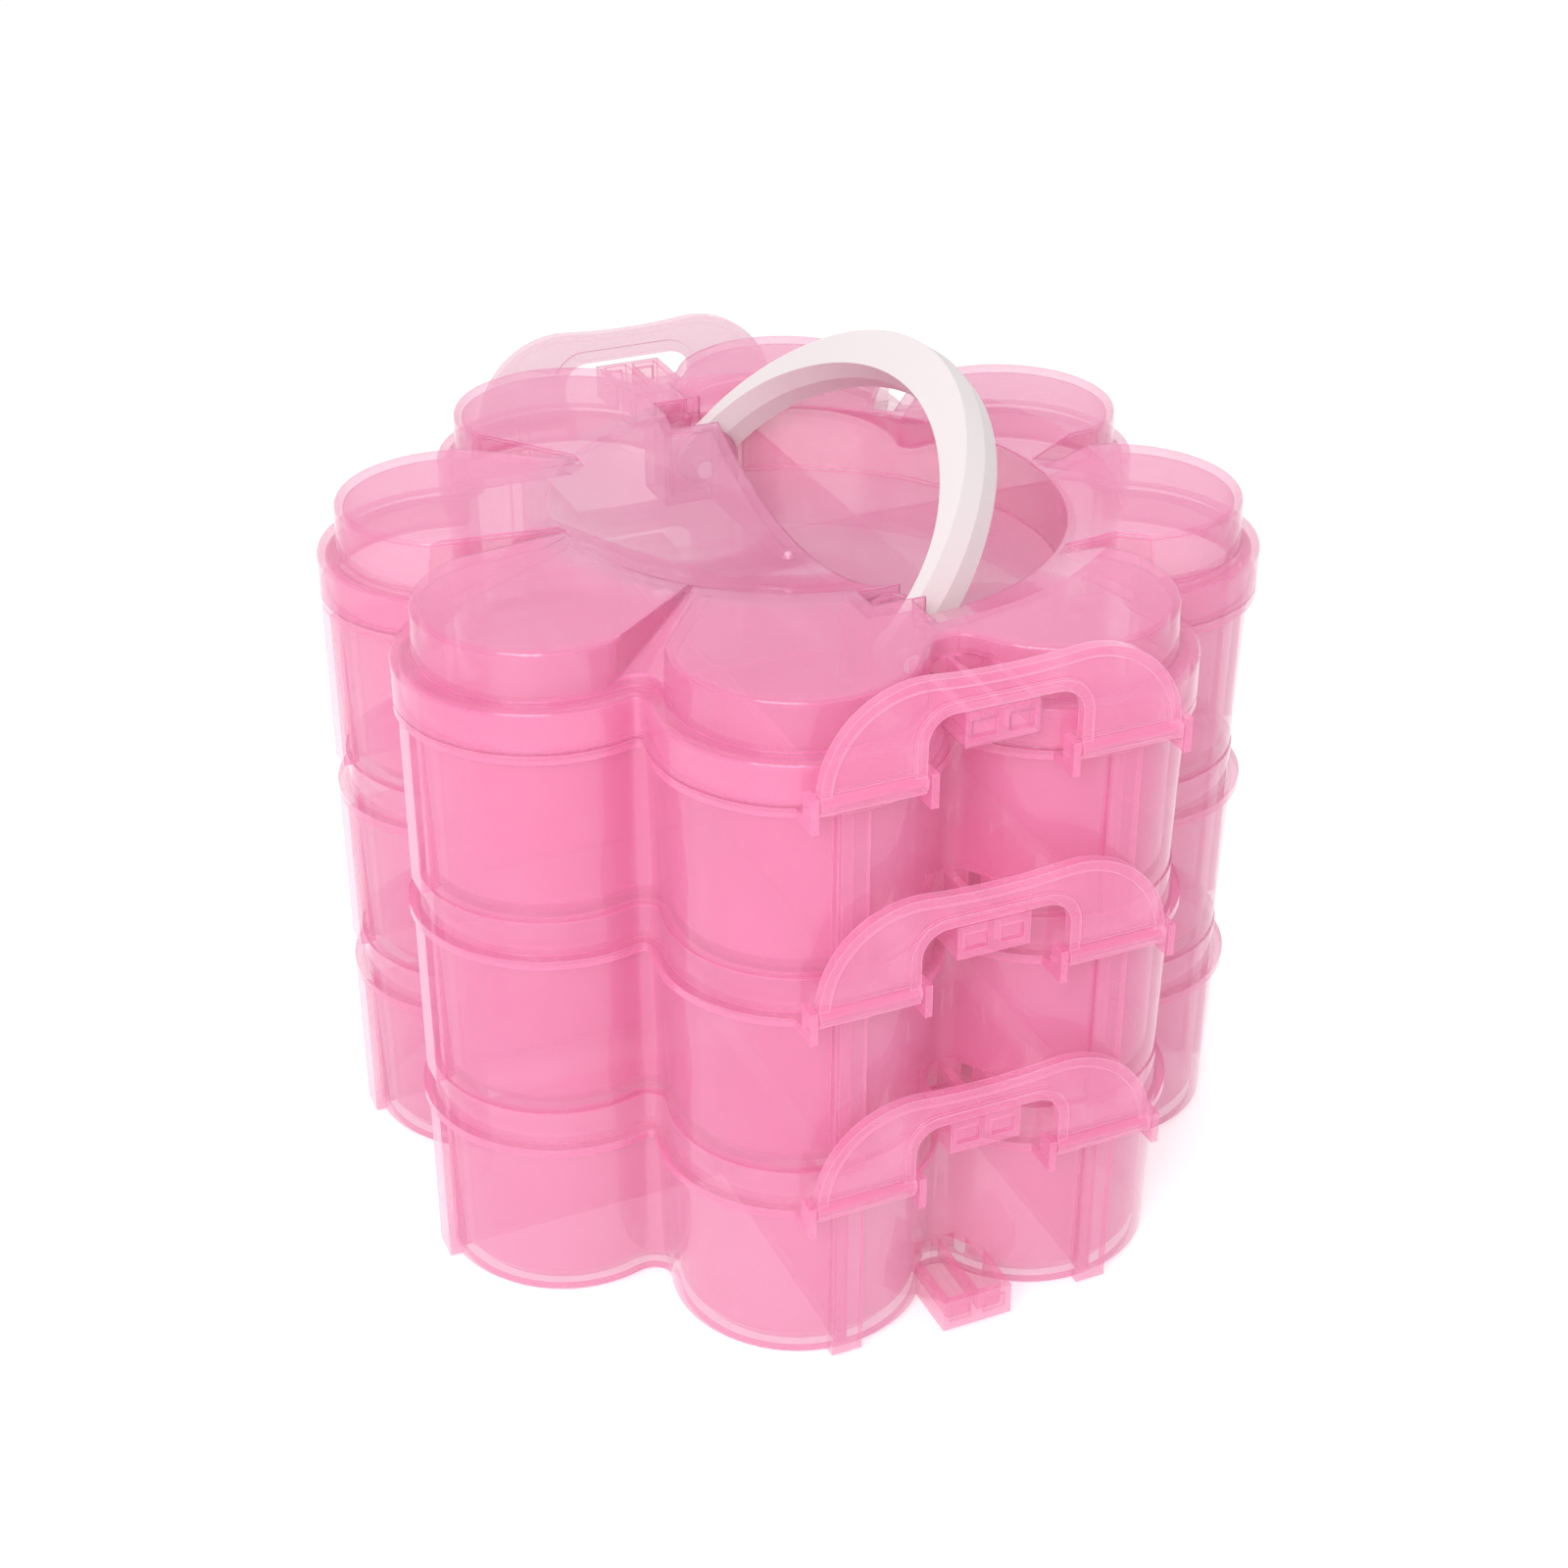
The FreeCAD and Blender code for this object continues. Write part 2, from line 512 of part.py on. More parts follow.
def build_latch():
    """Swing latch, drawn around its own hinge axis with the front at -Y."""
    body = new_body("latch_master")
    back = "(%s - %s)" % (LATCH_BACK, HINGE_REACH)
    front = "(%s + Sizes.latch_thick)" % back
    plate_sketch = new_sketch(body, "plate_outline", "XZ_Plane", back)
    latch_outline(plate_sketch, "0")
    pad(body, "plate", plate_sketch, "Sizes.latch_thick")
    panel_sketch = new_sketch(body, "panel_outline", "XZ_Plane", front)
    latch_outline(panel_sketch, "Sizes.latch_border")
    pocket(body, "panel", panel_sketch, "Sizes.latch_panel")
    bore = "Sizes.rod_radius + Sizes.rod_gap"
    length = "(Sizes.latch_half - Sizes.window_half)"
    half = "Sizes.mouth_width / 2"
    for side, offset in (("right", "Sizes.window_half"), ("left", "-Sizes.latch_half")):
        barrel = new_sketch(body, "knuckle_outline_" + side, "YZ_Plane", offset)
        add_circle(barrel, "0", "0", "Sizes.knuckle_radius")
        pad(body, "knuckle_" + side, barrel, length)
        hole = new_sketch(body, "bore_outline_" + side, "YZ_Plane", offset)
        add_circle(hole, "0", "0", bore)
        pocket(body, "bore_" + side, hole, length, back=True)
        mouth = new_sketch(body, "mouth_outline_" + side, "YZ_Plane", offset)
        add_box_outline(mouth, "0", "Sizes.knuckle_radius * 2", "-" + half, half)
        pocket(body, "mouth_" + side, mouth, length, back=True)
    return body


def arch_radius(span, rise, side):
    """Joining radius that gives a three-centred arch its span and rise."""
    pivot = "(%s - %s)" % (span, side)
    return "((%s ^ 2 + %s ^ 2 - %s ^ 2) / (2 * (%s - %s)))" % (pivot, rise, side, rise, side)


def handle_sketch(body, name, ridge, offset):
    """Section of the handle arch, drawn back by a set amount from its ridge."""
    sketch = new_sketch(body, name, "YZ_Plane", offset)
    span = "(Sizes.handle_reach - %s)" % ridge
    rise = "(Sizes.handle_height - %s)" % ridge
    side = "(Sizes.handle_side - %s)" % ridge
    inner_span = "(Sizes.handle_reach - Sizes.handle_leg + %s)" % ridge
    inner_rise = "(Sizes.handle_height - Sizes.handle_crown + %s)" % ridge
    inner_side = "(Sizes.handle_inner_side + %s)" % ridge
    arches = []
    for reach, height, bend in ((span, rise, side), (inner_span, inner_rise, inner_side)):
        pivot = ("(%s - %s)" % (reach, bend), "0")
        arches.append(add_arch(sketch, pivot, bend, arch_radius(reach, height, bend), False))
    outer, inner = arches
    for one, two, point in ((outer[0], inner[0], 1), (outer[1], inner[1], 2)):
        line = sketch.addGeometry(Part.LineSegment(
            sketch.getPoint(one, point), sketch.getPoint(two, point)), False)
        sketch.addConstraint(Sketcher.Constraint("Coincident", line, 1, one, point))
        sketch.addConstraint(Sketcher.Constraint("Coincident", line, 2, two, point))
    return sketch


def build_handle():
    """Carry handle: ridged arch with round eyes and a pin on each leg."""
    body = new_body("handle")
    half = "Sizes.handle_width / 2"
    loft(body, "Additive", "arch", [
        handle_sketch(body, "left_flank", "Sizes.handle_ridge", "-" + half),
        handle_sketch(body, "parting_ridge", "0", "0"),
        handle_sketch(body, "right_flank", "Sizes.handle_ridge", half),
    ])
    for side, sign in (("front", ""), ("rear", "-")):
        eye = new_sketch(body, "eye_outline_" + side, "XZ_Plane", sign + LEG_INNER)
        add_circle(eye, "0", "0", half)
        pad(body, "eye_" + side, eye, "Sizes.handle_leg - Sizes.handle_ridge", back=sign == "-")
        pin = new_sketch(body, "pin_outline_" + side, "XZ_Plane", sign + EAR_INNER)
        add_circle(pin, "0", "0", "Sizes.pin_radius")
        pad(body, "pin_" + side, pin, PIN_END + " - " + EAR_INNER, back=sign == "-")
    return body


def groove_section(body, name, swing, sizes, thick):
    """Cross-section of a groove at one distance from the middle, turned to a valley."""
    reach, half, depth = sizes
    sketch = new_sketch(body, name, "XZ_Plane")
    sketch.AttachmentOffset = FreeCAD.Placement(
        FreeCAD.Vector(), FreeCAD.Rotation(FreeCAD.Vector(0, 1, 0), swing))
    sketch.setExpression("AttachmentOffset.Base.x", "%s * sin(%g deg)" % (reach, swing))
    sketch.setExpression("AttachmentOffset.Base.z", "%s * cos(%g deg)" % (reach, swing))
    wide = "(%s + %s)" % (half, thick)
    foot = "(Sizes.lid_rise - %s - %s)" % (depth, thick)
    add_box_outline(sketch, "-" + wide, wide, foot, "(Sizes.lid_rise + Sizes.lid_thick)")
    return sketch


def cut_valleys(body, thick):
    """Sloping grooves between the lid petals, all but the two on the handle axis."""
    tip = ("Sizes.groove_tip", "Sizes.groove_tip_half", "Sizes.groove_tip_depth")
    mouth = (VALLEY_CENTRE, "Sizes.groove_half", "Sizes.groove_depth")
    for swing, count in ((PETAL_STEP, 4), (2.0 * PETAL_STEP, 2)):
        sections = [
            groove_section(body, "groove_tip_%g" % swing, swing, tip, thick),
            groove_section(body, "groove_mouth_%g" % swing, swing, mouth, thick),
        ]
        first = loft(body, "Subtractive", "groove_%g" % swing, sections)
        repeat_about_middle(body, "grooves_%g" % swing, [first], count)


def add_half_disc(sketch, radius, start):
    """Part of a disc on the +X side of a chord parallel to the handle axis."""
    size = number(radius)
    chord = number(start)
    high = FreeCAD.Vector(chord, math.sqrt(size ** 2 - chord ** 2), 0)
    low = FreeCAD.Vector(chord, -high.y, 0)
    arc = sketch.addGeometry(arc_between(FreeCAD.Vector(0, 0, 0), size, low, high), False)
    line = sketch.addGeometry(Part.LineSegment(high, low), False)
    sketch.addConstraint(Sketcher.Constraint("Coincident", arc, 2, line, 1))
    sketch.addConstraint(Sketcher.Constraint("Coincident", line, 2, arc, 1))
    sketch.addConstraint(Sketcher.Constraint("Coincident", arc, 3, -1, 1))
    sketch.addConstraint(Sketcher.Constraint("Vertical", line))
    bind(sketch, Sketcher.Constraint("Radius", arc, size), radius)
    bind(sketch, Sketcher.Constraint("DistanceX", -1, 1, line, 1, chord), start)


def cut_bowl(body, drop):
    """Round finger bowl in the lid's middle, lowered by a set drop."""
    sketch = new_sketch(body, "bowl_section", "YZ_Plane")
    rim = "Sizes.bowl_radius"
    top = "(Sizes.lid_rise - %s)" % drop
    low = "(%s - Sizes.bowl_depth)" % top
    reach, fall = number(rim), number("Sizes.bowl_depth")
    radius = (reach ** 2 + fall ** 2) / (2.0 * fall)
    centre = FreeCAD.Vector(0, number(low) + radius, 0)
    bottom, corner, inner = spot("0", low), spot(rim, top), spot("0", top)
    arc = sketch.addGeometry(arc_between(centre, radius, bottom, corner), False)
    roof = sketch.addGeometry(Part.LineSegment(corner, inner), False)
    axis = sketch.addGeometry(Part.LineSegment(inner, bottom), False)
    sketch.addConstraint(Sketcher.Constraint("Coincident", arc, 2, roof, 1))
    sketch.addConstraint(Sketcher.Constraint("Coincident", roof, 2, axis, 1))
    sketch.addConstraint(Sketcher.Constraint("Coincident", axis, 2, arc, 1))
    sketch.addConstraint(Sketcher.Constraint("PointOnObject", arc, 3, -2))
    pin_point(sketch, arc, 2, rim, top)
    pin_point(sketch, roof, 2, "0", top)
    pin_point(sketch, axis, 2, "0", low)
    feature = body.newObject("PartDesign::Groove", "bowl")
    feature.Profile = sketch
    feature.ReferenceAxis = (origin_plane(body, "Z_Axis"), [""])
    feature.Angle = 360.0


def cut_lip(body, drop):
    """Slanted lip around the recess, on the +X half, lowered by a set drop."""
    sketch = new_sketch(body, "lip_section", "YZ_Plane")
    top = "(Sizes.lid_rise - %s)" % drop
    add_polygon(sketch, (
        ("Sizes.recess_radius", top),
        ("Sizes.recess_radius", "(%s - Sizes.lip_drop)" % top),
        ("Sizes.recess_radius + Sizes.lip_run", top),
    ))
    feature = body.newObject("PartDesign::Groove", "lip")
    feature.Profile = sketch
    feature.ReferenceAxis = (origin_plane(body, "Z_Axis"), [""])
    feature.Angle = 180.0
    feature.Reversed = True


def recess_sketches(body, thick, height):
    """Outlines of the handle recess and of the leg slots, widened by a wall."""
    disc = new_sketch(body, "recess_outline", "XY_Plane", height)
    radius = "(Sizes.recess_radius + %s)" % thick
    add_half_disc(disc, radius, "(Sizes.crease_offset - %s)" % thick)
    slots = new_sketch(body, "leg_slot_outline", "XY_Plane", height)
    half = "(Sizes.ear_half + Sizes.slot_gap + %s)" % thick
    for near, far in mirrored((EAR_INNER, "%s + %s" % (SLOT_END, thick))):
        add_box_outline(slots, "-" + half, half, near, far)
    return disc, slots


def round_edges(body, name, height):
    """Round every edge of the body that lies at one height."""
    doc.recompute()
    last = body.Tip
    level = number(height)
    edges = []
    for index, edge in enumerate(last.Shape.Edges, start=1):
        box = edge.BoundBox
        if abs(box.ZMin - level) < 1e-6 and abs(box.ZMax - level) < 1e-6:
            edges.append("Edge%d" % index)
    feature = body.newObject("PartDesign::Fillet", name)
    feature.Base = (last, edges)
    feature.setExpression("Radius", "Sizes.lid_round")


def build_lid_core():
    """Hollow of the lid, one wall inside its outer faces."""
    body = new_body("lid_core")
    thick = "Sizes.lid_thick"
    foot = "(%s - %s)" % (PAN_FOOT, thick)
    pad(body, "skirt_hollow", flower_sketch(body, "skirt_inside", SKIRT_INNER, foot), "-" + foot)
    loft(body, "Additive", "wall_hollow", [
        flower_sketch(body, "wall_inside", "Sizes.lid_wall_grow - " + thick, "0"),
        flower_sketch(body, "plate_inside", "-" + thick, LID_PLATE_FOOT),
    ])
    cut_valleys(body, thick)
    cut_bowl(body, thick)
    cut_lip(body, thick)
    for index, sketch in enumerate(recess_sketches(body, thick, LID_PLATE_FOOT)):
        pocket(body, "pan_%d" % index, sketch, LID_PLATE_FOOT + " - " + PAN_FOOT)
    return body


def build_lid(core):
    """Lid: petal shell with skirt, valley grooves, handle recess and bearings."""
    body = new_body("lid")
    skirt = flower_sketch(body, "skirt_outline", "Sizes.bead_grow", SKIRT_FOOT)
    pad(body, "skirt", skirt, "Sizes.lid_thick - " + SKIRT_FOOT)
    round_edges(body, "skirt_rounding", "Sizes.lid_thick")
    loft(body, "Additive", "upper_wall", [
        flower_sketch(body, "shoulder_outline", "Sizes.lid_wall_grow", "0"),
        flower_sketch(body, "crown_outline", "0", "Sizes.lid_rise"),
    ])
    round_edges(body, "crown_rounding", "Sizes.lid_rise")
    for index, sketch in enumerate(recess_sketches(body, "Sizes.lid_thick", PAN_FOOT)):
        pad(body, "pan_%d" % index, sketch, "-" + PAN_FOOT)
    cut_valleys(body, "0")
    cut_bowl(body, "0")
    cut_lip(body, "0")
    hollow = body.newObject("PartDesign::Boolean", "hollow")
    hollow.Type = "Cut"
    hollow.setObjects([core])
    for index, sketch in enumerate(recess_sketches(body, "0", "Sizes.lid_rise")):
        pocket(body, "recess_%d" % index, sketch, "Sizes.lid_rise - " + RECESS_FLOOR)
    for side, sign in (("front", ""), ("rear", "-")):
        add_bearing(body, side, sign)
    root = "(%s - Sizes.lid_thick / 2)" % VALLEY_REACH
    add_hooks(body, "(Sizes.hook_foot - Sizes.plug_height)", root)
    return body


def add_bearing(body, side, sign):
    """Round-topped ear in a leg slot, and the pin hole through it and the slot's end."""
    ear = new_sketch(body, "ear_outline_" + side, "XZ_Plane", sign + EAR_INNER)
    half = "Sizes.ear_half"
    centre_height = "(%s + Sizes.ear_rise)" % PIVOT_HEIGHT
    right, left = spot(half, centre_height), spot("-" + half, centre_height)
    top = ear.addGeometry(arc_between(spot("0", centre_height), number(half), right, left), False)
    pin_point(ear, top, 3, "0", centre_height)
    pin_point(ear, top, 1, half, centre_height)
    ear.addConstraint(Sketcher.Constraint("Horizontal", top, 1, top, 2))
    corners = (
        ("-" + half, centre_height), ("-" + half, RECESS_FLOOR),
        (half, RECESS_FLOOR), (half, centre_height),
    )
    add_run(ear, (top, 2), (top, 1), corners, {})
    pad(body, "ear_" + side, ear, "Sizes.ear_thick", back=sign == "-")
    hole = new_sketch(body, "bearing_outline_" + side, "XZ_Plane", sign + EAR_INNER)
    add_circle(hole, "0", PIVOT_HEIGHT, "Sizes.pin_radius + Sizes.pin_gap")
    pocket(body, "bearing_" + side, hole, PIN_END + " - " + EAR_INNER, back=sign == "")


def placed_copy(master, label, across="0", along="0", height="0", turned=0.0):
    """Sub-part with a master's form, put in the stack by sheet expressions."""
    body = new_body(label)
    body.BaseFeature = master
    body.Placement.Rotation = FreeCAD.Rotation(UPRIGHT, turned)
    place(body, across, along, height)
    return body


def place(body, across="0", along="0", height="0"):
    """Put a body in the stack; sheet expressions give the place."""
    body.setExpression("Placement.Base.x", across)
    body.setExpression("Placement.Base.y", along)
    body.setExpression("Placement.Base.z", height)


def build_caddy():
    """Every sub-part of the caddy, in its place."""
    tray = build_tray()
    lengthwise = build_divider("lengthwise_divider_master", "YZ_Plane", True)
    crosswise = build_divider("crosswise_divider_master", "XZ_Plane", False)
    latch = build_latch()
    offset = "Sizes.divider_offset"
    parts = []
    for level, name in enumerate(TRAY_NAMES):
        foot = "%d * Sizes.tray_pitch" % level
        parts.append(placed_copy(tray, name + "_tray", height=foot))
        divider = name + "_tray_divider_"
        parts += [
            placed_copy(lengthwise, divider + "left", across="-" + offset, height=foot),
            placed_copy(lengthwise, divider + "right", across=offset, height=foot),
            placed_copy(crosswise, divider + "front", along="-" + offset, height=foot),
            placed_copy(crosswise, divider + "rear", along=offset, height=foot),
        ]
        hinge = "%s + %s" % (foot, HINGE_HEIGHT)
        parts += [
            placed_copy(latch, name + "_latch_front", along="-" + HINGE_REACH, height=hinge),
            placed_copy(latch, name + "_latch_rear", along=HINGE_REACH, height=hinge, turned=180.0),
        ]
    lid_height = "(%d * Sizes.tray_pitch + Sizes.plug_height)" % len(TRAY_NAMES)
    lid = build_lid(build_lid_core())
    place(lid, height=lid_height)
    handle = build_handle()
    handle.Placement.Rotation = FreeCAD.Rotation(FreeCAD.Vector(0, 1, 0), 1.0)
    handle.setExpression("Placement.Rotation.Angle", "Sizes.handle_lean * 1 deg")
    place(handle, height="%s + %s" % (lid_height, PIVOT_HEIGHT))
    return parts + [lid, handle]


def export(parts):
    """Check every feature and write one STEP file per sub-part."""
    doc.recompute()
    faulty = [item.Name for item in doc.Objects if {"Invalid", "Error"} & set(item.State)]
    if faulty:
        raise RuntimeError("features that did not build: " + ", ".join(faulty))
    os.makedirs("parts", exist_ok=True)
    for part in parts:
        shape = part.Shape
        if shape.isNull() or not shape.isValid() or len(shape.Solids) != 1:
            raise RuntimeError("not one sound solid: " + part.Label)
        shape.exportStep("parts/%s.step" % part.Label)
        print("%-28s %9.1f mm3" % (part.Label, shape.Volume))


if __name__ == "__main__":
    export(build_caddy())
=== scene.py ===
import logging
import math
from dataclasses import dataclass, field, replace
from enum import Enum
from typing import Any, Sequence, Union

import bmesh
import bpy
from mathutils import Matrix, Vector


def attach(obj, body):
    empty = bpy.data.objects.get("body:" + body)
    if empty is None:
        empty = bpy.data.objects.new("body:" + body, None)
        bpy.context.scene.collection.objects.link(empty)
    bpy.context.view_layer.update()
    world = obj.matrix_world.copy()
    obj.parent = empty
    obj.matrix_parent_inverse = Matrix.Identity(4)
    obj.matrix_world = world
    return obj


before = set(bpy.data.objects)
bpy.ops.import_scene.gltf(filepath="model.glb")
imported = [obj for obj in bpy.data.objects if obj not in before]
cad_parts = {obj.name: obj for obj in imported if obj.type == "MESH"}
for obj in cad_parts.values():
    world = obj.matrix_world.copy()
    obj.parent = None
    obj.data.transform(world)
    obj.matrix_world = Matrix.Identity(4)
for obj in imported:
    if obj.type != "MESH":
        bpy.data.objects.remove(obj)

log = logging.getLogger("flower_caddy")

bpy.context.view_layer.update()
MM = 0.001
Colour = tuple[float, float, float]
BLACK: Colour = (0.0, 0.0, 0.0)
WHITE: Colour = (1.0, 1.0, 1.0)


class TrayLevel(Enum):
    """The three trays of the stack, from the table up."""

    BOTTOM = 0
    MIDDLE = 1
    TOP = 2

    @property
    def label(self) -> str:
        """First word of the node names on this level."""
        return self.name.lower()


class Field:
    """One value of a shader that takes part in Python expressions."""

    def __init__(self, tree: "ShaderTree", socket: bpy.types.NodeSocket) -> None:
        """Wrap an output socket.

        Args:
            tree: The shader tree that owns the socket.
            socket: The output to read.
        """
        self.tree = tree
        self.socket = socket

    def _math(self, operation: str, first: Any, second: Any) -> "Field":
        """Add one Math node.

        Args:
            operation: Blender's name of the operation.
            first: Left value, a field or a number.
            second: Right value, a field or a number.

        Returns:
            The node's result.
        """
        settings = {"operation": operation}
        node = self.tree.add("ShaderNodeMath", settings, {0: first, 1: second})
        return Field(self.tree, node.outputs[0])

    def __add__(self, other: Any) -> "Field":
        """Sum of two values."""
        return self._math("ADD", self, other)

    def __radd__(self, other: Any) -> "Field":
        """Sum with the number on the left."""
        return self._math("ADD", other, self)

    def __sub__(self, other: Any) -> "Field":
        """Difference of two values."""
        return self._math("SUBTRACT", self, other)

    def __rsub__(self, other: Any) -> "Field":
        """Difference with the number on the left."""
        return self._math("SUBTRACT", other, self)

    def __mul__(self, other: Any) -> "Field":
        """Product of two values."""
        return self._math("MULTIPLY", self, other)

    def __rmul__(self, other: Any) -> "Field":
        """Product with the number on the left."""
        return self._math("MULTIPLY", other, self)

    def __pow__(self, other: Any) -> "Field":
        """Power of a value."""
        return self._math("POWER", self, other)

    def most(self, other: Any) -> "Field":
        """Larger of two values."""
        return self._math("MAXIMUM", self, other)

    def least(self, other: Any) -> "Field":
        """Smaller of two values."""
        return self._math("MINIMUM", self, other)

    def share(self) -> "Field":
        """The value held between 0 and 1."""
        return self.most(0.0).least(1.0)


Value = Union[Field, bpy.types.NodeSocket, float, Sequence[float]]


class ShaderTree:
    """Node tree of one material or world, built node by node."""

    EDGE_SAMPLES = 4
    EDGE_GAIN = 8.0
    MIX_FACTOR, MIX_FIRST, MIX_SECOND, MIX_RESULT = 0, 6, 7, 2

    def __init__(self, owner: Union[bpy.types.Material, bpy.types.World]) -> None:
        """Start with an empty tree.

        Args:
            owner: The material or world to fill.
        """
        owner.use_nodes = True
        self.tree = owner.node_tree
        self.tree.nodes.clear()

    def add(
            self, kind: str, settings: dict[str, Any],
            values: dict[Any, Value]) -> bpy.types.Node:
        """Add a node, set it up and feed its sockets.

        Args:
            kind: Blender's node type.
            settings: Node properties, set before the sockets.
            values: Socket names or numbers, each with a number, a colour or a link.

        Returns:
            The new node.
        """
        node = self.tree.nodes.new(kind)
        for key, setting in settings.items():
            setattr(node, key, setting)
        for key, value in values.items():
            socket = node.inputs[key]
            if isinstance(value, Field):
                self.tree.links.new(value.socket, socket)
            elif isinstance(value, bpy.types.NodeSocket):
                self.tree.links.new(value, socket)
            else:
                socket.default_value = value
        return node

    def place(self) -> bpy.types.NodeSocket:
        """Object coordinates, in metres."""
        return self.add("ShaderNodeTexCoord", {}, {}).outputs["Object"]

    def radius(self) -> Field:
        """Distance of the shaded point from the upright middle axis."""
        split = self.add("ShaderNodeSeparateXYZ", {}, {"Vector": self.place()})
        across, along = Field(self, split.outputs["X"]), Field(self, split.outputs["Y"])
        return (across * across + along * along) ** 0.5

    def noise(self, scale: float, detail: float) -> Field:
        """Smooth noise over the object.

        Args:
            scale: Waves per metre.
            detail: Octaves.

        Returns:
            A value from 0 to 1.
        """
        values = {"Vector": self.place(), "Scale": scale, "Detail": detail}
        node = self.add("ShaderNodeTexNoise", {"noise_dimensions": "3D"}, values)
        return Field(self, node.outputs["Fac"])

    def facing(self, blend: float) -> Field:
        """Share by which the surface is seen edge-on.

        Args:
            blend: How early the share rises as the surface turns away.

        Returns:
            Zero on a surface that faces the eye, one on an edge-on surface.
        """
        node = self.add("ShaderNodeLayerWeight", {}, {"Blend": blend})
        return Field(self, node.outputs["Facing"])

    def rounded(self, width: float) -> bpy.types.NodeSocket:
        """Normal of the surface with its edges rounded.

        Args:
            width: Reach of the rounding, in metres.

        Returns:
            The rounded normal.
        """
        settings = {"samples": self.EDGE_SAMPLES}
        return self.add("ShaderNodeBevel", settings, {"Radius": width}).outputs["Normal"]

    def edges(self, width: float) -> Field:
        """Mask of the sharp edges and folds of the surface.

        Args:
            width: How far the mask reaches from an edge, in metres.

        Returns:
            One on an edge, zero on the open surface.
        """
        plain = self.add("ShaderNodeNewGeometry", {}, {}).outputs["Normal"]
        values = {0: plain, 1: self.rounded(width)}
        node = self.add("ShaderNodeVectorMath", {"operation": "DOT_PRODUCT"}, values)
        return ((1.0 - Field(self, node.outputs["Value"])) * self.EDGE_GAIN).share()

    def mix(self, factor: Field, first: Value, second: Value) -> bpy.types.NodeSocket:
        """Blend of two colours.

        Args:
            factor: Share of the second colour.
            first: Colour at 0.
            second: Colour at 1.

        Returns:
            The blended colour.
        """
        values = {self.MIX_FACTOR: factor, self.MIX_FIRST: first, self.MIX_SECOND: second}
        node = self.add("ShaderNodeMix", {"data_type": "RGBA"}, values)
        return node.outputs[self.MIX_RESULT]

    def bump(
            self, relief: Field, depth: float,
            softness: float = 0.0) -> bpy.types.NodeSocket:
        """Normal of a surface with a fine relief.

        Args:
            relief: Height from 0 to 1.
            depth: Real depth in metres.
            softness: Rounding of the edges in metres, if any.

        Returns:
            The bumped normal.
        """
        values = {"Strength": 1.0, "Distance": depth, "Height": relief}
        if softness > 0.0:
            values["Normal"] = self.rounded(softness)
        return self.add("ShaderNodeBump", {}, values).outputs["Normal"]

    def shown(self) -> Field:
        """One for rays that show this surface to the camera, directly or in a gloss."""
        path = self.add("ShaderNodeLightPath", {}, {})
        camera, glossy, through = (
            Field(self, path.outputs[name])
            for name in ("Is Camera Ray", "Is Glossy Ray", "Is Transmission Ray"))
        return camera.most(glossy).most(through)

    def plastic(self, values: dict[Any, Value]) -> None:
        """Finish a material with one Principled shader.

        Args:
            values: Values or links of the shader's sockets.
        """
        shader = self.add("ShaderNodeBsdfPrincipled", {}, values)
        self.add("ShaderNodeOutputMaterial", {}, {"Surface": shader.outputs[0]})


def opaque(colour: Colour) -> tuple[float, float, float, float]:
    """Colour with full alpha."""
    return (*colour, 1.0)


@dataclass(frozen=True)
class ClearPink:
    """See-through dyed plastic: thin walls pale, edges and folds deep.

    Covers are shares of light that the plastic stops: on open faces, on faces seen
    edge-on and along edges. Within middle_reach of the middle axis the colour turns to a darker,
    greyer painted shade.
    """

    name: str
    tint: Colour = (0.985, 0.305, 0.56)
    deep: Colour = (0.98, 0.255, 0.505)
    edge_tint: Colour = (0.985, 0.32, 0.58)
    # Painted shade colour near the middle axis, the same as tint unless set.
    recess_shade_tint: Colour = (0.985, 0.305, 0.56)
    middle_reach: float = 0.0
    middle_fade: float = 2.5 * MM
    face_cover: float = 0.36
    graze_cover: float = 0.78
    edge_cover: float = 0.60
    least_cover: float = 0.05
    most_cover: float = 0.96
    graze_blend: float = 0.45
    graze_power: float = 3.0
    edge_width: float = 0.28 * MM
    edge_softness: float = 0.0
    flow_scale: float = 38.0
    flow_detail: float = 2.0
    flow_contrast: float = 1.6
    flow_offset: float = 0.3
    flow_depth: float = 0.6 * MM
    roughness: float = 0.15
    roughness_spread: float = 0.05
    ior: float = 1.5
    coat_roughness: float = 0.05
    coat_ior: float = 1.6

    def material(self) -> bpy.types.Material:
        """Build the material.

        Returns:
            A procedural see-through plastic.
        """
        material = bpy.data.materials.new(self.name)
        tree = ShaderTree(material)
        flow = tree.noise(self.flow_scale, self.flow_detail)
        edge = tree.edges(self.edge_width)
        graze = tree.facing(self.graze_blend) ** self.graze_power
        cover = self.face_cover + (self.graze_cover - self.face_cover) * graze
        cover = cover + edge * (self.edge_cover - self.face_cover)
        depth = (flow * self.flow_contrast - self.flow_offset).share()
        body = tree.mix(depth, opaque(self.tint), opaque(self.deep))
        # Painted shade: near the middle axis the colour turns darker and greyer, as in the
        # shaded recess and bowl.
        if self.middle_reach > 0.0:
            middle = ((self.middle_reach - tree.radius()) * (1.0 / self.middle_fade)).share()
            body = tree.mix(middle, body, opaque(self.recess_shade_tint))
        values = {
            "Base Color": tree.mix(edge.most(graze), body, opaque(self.edge_tint)),
            "Roughness": self.roughness + flow * self.roughness_spread,
            "IOR": self.ior,
            "Coat Weight": 1.0,
            "Coat Roughness": self.coat_roughness,
            "Coat IOR": self.coat_ior,
            "Alpha": cover.least(self.most_cover).most(self.least_cover),
            "Normal": tree.bump(flow, self.flow_depth, self.edge_softness),
        }
        tree.plastic(values)
        return material


